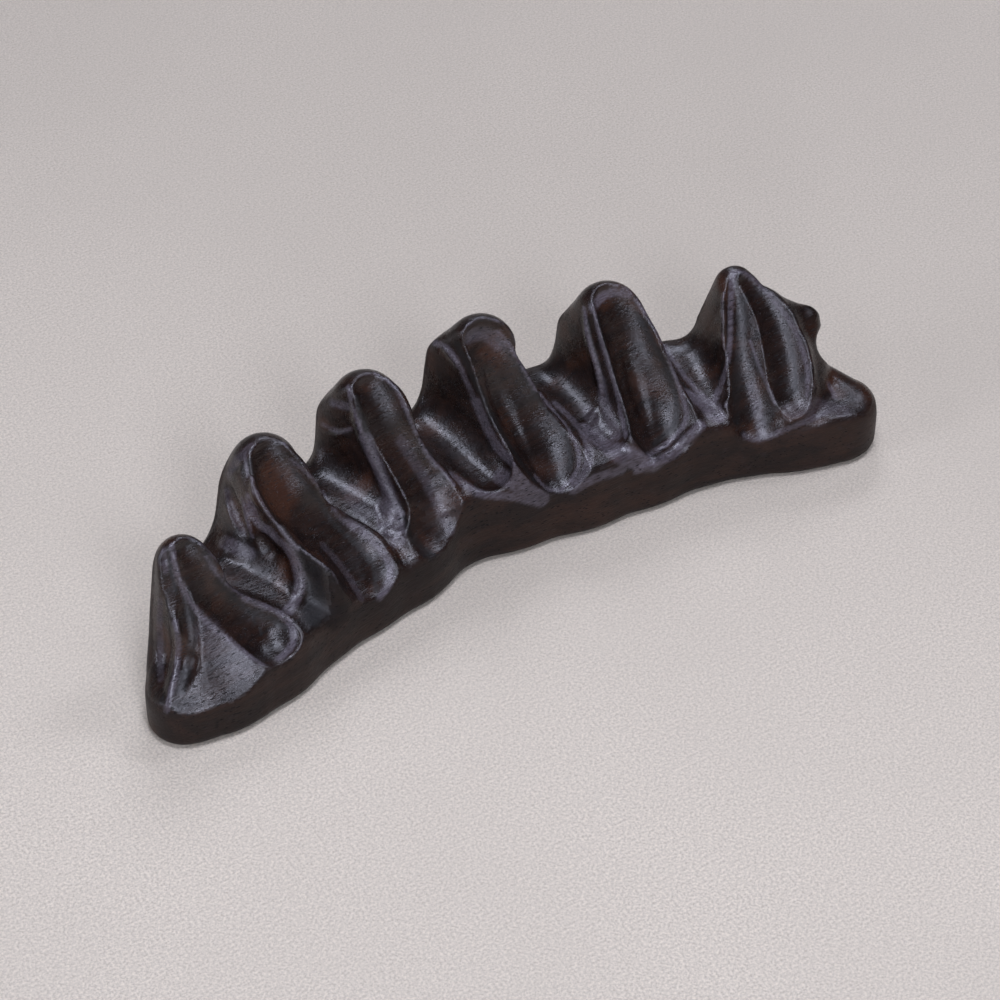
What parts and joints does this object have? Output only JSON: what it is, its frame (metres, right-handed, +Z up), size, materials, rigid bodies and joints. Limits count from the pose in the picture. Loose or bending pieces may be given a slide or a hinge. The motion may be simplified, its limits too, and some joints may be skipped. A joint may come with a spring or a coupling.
{
  "type": "brush rest",
  "caption": "Carved dark hardwood brush rest: a bowed row of fluted peaks on a flat foot, with open saddles between them that hold brush handles off the table.",
  "frame": {"origin": "centre of the bounding box's underside, on the table plane", "axes": "+X along the row of peaks towards the low toe, -Y towards the fluted front, +Z up"},
  "size_m": [0.183, 0.0473, 0.0506],
  "materials": {
    "dark_wood": "satin wax over very dark brown, open-pored carved hardwood"
  },
  "bodies": {
    "root": {"carved_body": "dark_wood"}
  },
  "joints": []
}
